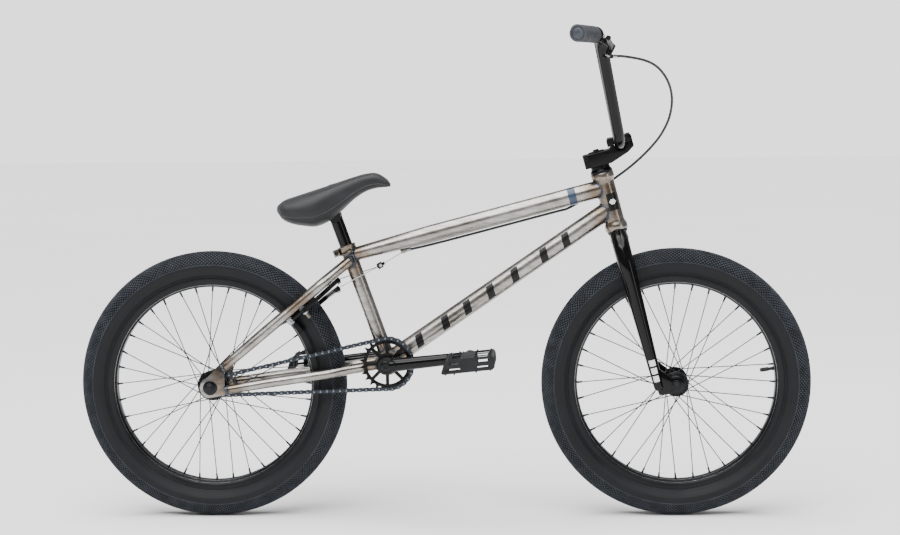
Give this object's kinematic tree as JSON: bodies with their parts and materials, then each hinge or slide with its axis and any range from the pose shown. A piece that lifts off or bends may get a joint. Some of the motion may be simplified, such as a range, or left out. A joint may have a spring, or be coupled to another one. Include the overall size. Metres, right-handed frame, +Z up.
{
  "type": "bmx bike",
  "caption": "Small-wheeled BMX bike with a raw steel frame, tall bars with a crossbar, platform pedals, a chain drive and a rear brake worked by a lever.",
  "frame": {"origin": "on the ground, midway between the two axles, in the frame's middle plane", "axes": "+X towards the front wheel, +Y to the rider's left, +Z up; the chain is on the -Y side"},
  "size_m": [1.445, 0.7354, 0.9682],
  "materials": {
    "raw_steel": "clear-coated raw steel",
    "gloss_black": "gloss black paint",
    "satin_black": "satin black paint",
    "black_rim": "satin black anodised",
    "tyre_rubber": "moulded tread",
    "grip_rubber": "soft ribbed rubber",
    "seat_cover": "smooth padded cover",
    "steel": "plain steel",
    "dark_steel": "blue-black steel",
    "pedal_plastic": "moulded plastic",
    "pad_rubber": "brake rubber",
    "housing_black": "cable housing"
  },
  "bodies": {
    "frame": {"head_tube": "raw_steel", "top_tube": "raw_steel", "down_tube": "raw_steel", "seat_tube": "raw_steel", "bottom_bracket_shell": "raw_steel", "chainstay_right": "raw_steel", "chainstay_left": "raw_steel", "seatstay_right": "raw_steel", "seatstay_left": "raw_steel", "dropout_right": "raw_steel", "dropout_left": "raw_steel", "seat_clamp": "raw_steel", "headset_bearing_upper": "steel", "headset_bearing_lower": "steel", "bottom_bracket_bearing_right": "steel", "bottom_bracket_bearing_left": "steel", "rear_axle": "steel", "rear_axle_nut_right": "satin_black", "rear_axle_nut_left": "satin_black", "chain": "dark_steel", "brake_housing": "housing_black"},
    "steering": {"fork_steerer": "gloss_black", "fork_leg_right": "gloss_black", "fork_leg_left": "gloss_black", "headset_cap": "satin_black", "stem": "satin_black", "stem_cap": "satin_black", "handlebar": "gloss_black", "grip_right": "grip_rubber", "grip_left": "grip_rubber", "brake_lever_bracket": "satin_black", "front_axle": "steel"},
    "front_wheel": {"front_tyre": "tyre_rubber", "front_rim": "black_rim", "front_spokes_right": "dark_steel", "front_spokes_left": "dark_steel", "front_hub": "satin_black"},
    "rear_wheel": {"rear_tyre": "tyre_rubber", "rear_rim": "black_rim", "rear_spokes_right": "dark_steel", "rear_spokes_left": "dark_steel", "rear_hub": "satin_black"},
    "driver": {"driver": "dark_steel"},
    "crank": {"crank_spindle": "steel", "chainring": "satin_black", "crank_arm_right": "gloss_black", "crank_arm_left": "gloss_black", "pedal_axle_right": "steel", "pedal_axle_left": "steel"},
    "pedal_right": {"pedal_right": "pedal_plastic"},
    "pedal_left": {"pedal_left": "pedal_plastic"},
    "brake_lever": {"brake_lever": "satin_black"},
    "brake_arm_right": {"brake_arm_right": "satin_black", "brake_pad_right": "pad_rubber"},
    "brake_arm_left": {"brake_arm_left": "satin_black", "brake_pad_left": "pad_rubber"},
    "cable_hanger": {"cable_hanger": "satin_black", "straddle_wire": "steel"},
    "seat_post": {"seat_post": "gloss_black"},
    "seat": {"seat": "seat_cover"}
  },
  "joints": [
    {"name": "steering", "type": "hinge", "parent": "frame", "child": "steering", "pos_m": [0.329, 0, 0.6226], "axis": [-0.2538, 0, 0.9673], "range_deg": [-70, 70], "deforming": ["brake_housing"]},
    {"name": "front_wheel_spin", "type": "hinge", "parent": "steering", "child": "front_wheel", "pos_m": [0.4575, 0, 0.265], "axis": [0, 1, 0], "continuous": true},
    {"name": "rear_wheel_spin", "type": "hinge", "parent": "frame", "child": "rear_wheel", "pos_m": [-0.4575, 0, 0.265], "axis": [0, 1, 0], "continuous": true},
    {"name": "crank_spin", "type": "hinge", "parent": "frame", "child": "crank", "pos_m": [-0.1087, 0, 0.309], "axis": [0, 1, 0], "continuous": true, "deforming": ["chain"]},
    {"name": "driver_spin", "type": "hinge", "parent": "frame", "child": "driver", "pos_m": [-0.4575, 0, 0.265], "axis": [0, 1, 0], "continuous": true},
    {"name": "pedal_right_spin", "type": "hinge", "parent": "crank", "child": "pedal_right", "pos_m": [0.05545, -0.133, 0.32567], "axis": [0, 1, 0], "continuous": true},
    {"name": "pedal_left_spin", "type": "hinge", "parent": "crank", "child": "pedal_left", "pos_m": [-0.27286, 0.133, 0.29233], "axis": [0, 1, 0], "continuous": true},
    {"name": "brake_lever_pull", "type": "hinge", "parent": "steering", "child": "brake_lever", "pos_m": [0.329, -0.206, 0.921], "axis": [-0.4322, -0.1965, -0.8801], "range_deg": [0, 12], "stiffness_Nm_per_rad": 2, "springref_deg": -14.32},
    {"name": "brake_arm_right_swing", "type": "hinge", "parent": "frame", "child": "brake_arm_right", "pos_m": [-0.268, -0.043, 0.412], "axis": [0.6388, 0, -0.7694], "range_deg": [0, 2.7]},
    {"name": "brake_arm_left_swing", "type": "hinge", "parent": "frame", "child": "brake_arm_left", "pos_m": [-0.268, 0.043, 0.412], "axis": [-0.6388, 0, 0.7694], "range_deg": [0, 2.7]},
    {"name": "cable_hanger_slide", "type": "slide", "parent": "frame", "child": "cable_hanger", "axis": [0.868, 0, 0.4965], "range_m": [0, 0.0044], "deforming": ["straddle_wire"]},
    {"name": "seat_height", "type": "slide", "parent": "frame", "child": "seat_post", "axis": [-0.3338, 0, 0.9426], "range_m": [-0.03, 0.045]},
    {"name": "seat_tilt", "type": "hinge", "parent": "seat_post", "child": "seat", "pos_m": [-0.21085, 0, 0.59745], "axis": [0, 1, 0], "range_deg": [-8, 8]}
  ],
  "couplings": [
    {"joint": "driver_spin", "follows": "crank_spin", "ratio": 2.7778},
    {"joint": "brake_arm_right_swing", "follows": "brake_lever_pull", "ratio": 0.225},
    {"joint": "brake_arm_left_swing", "follows": "brake_lever_pull", "ratio": 0.225},
    {"joint": "cable_hanger_slide", "follows": "brake_lever_pull", "m_per_rad": 0.021008}
  ]
}
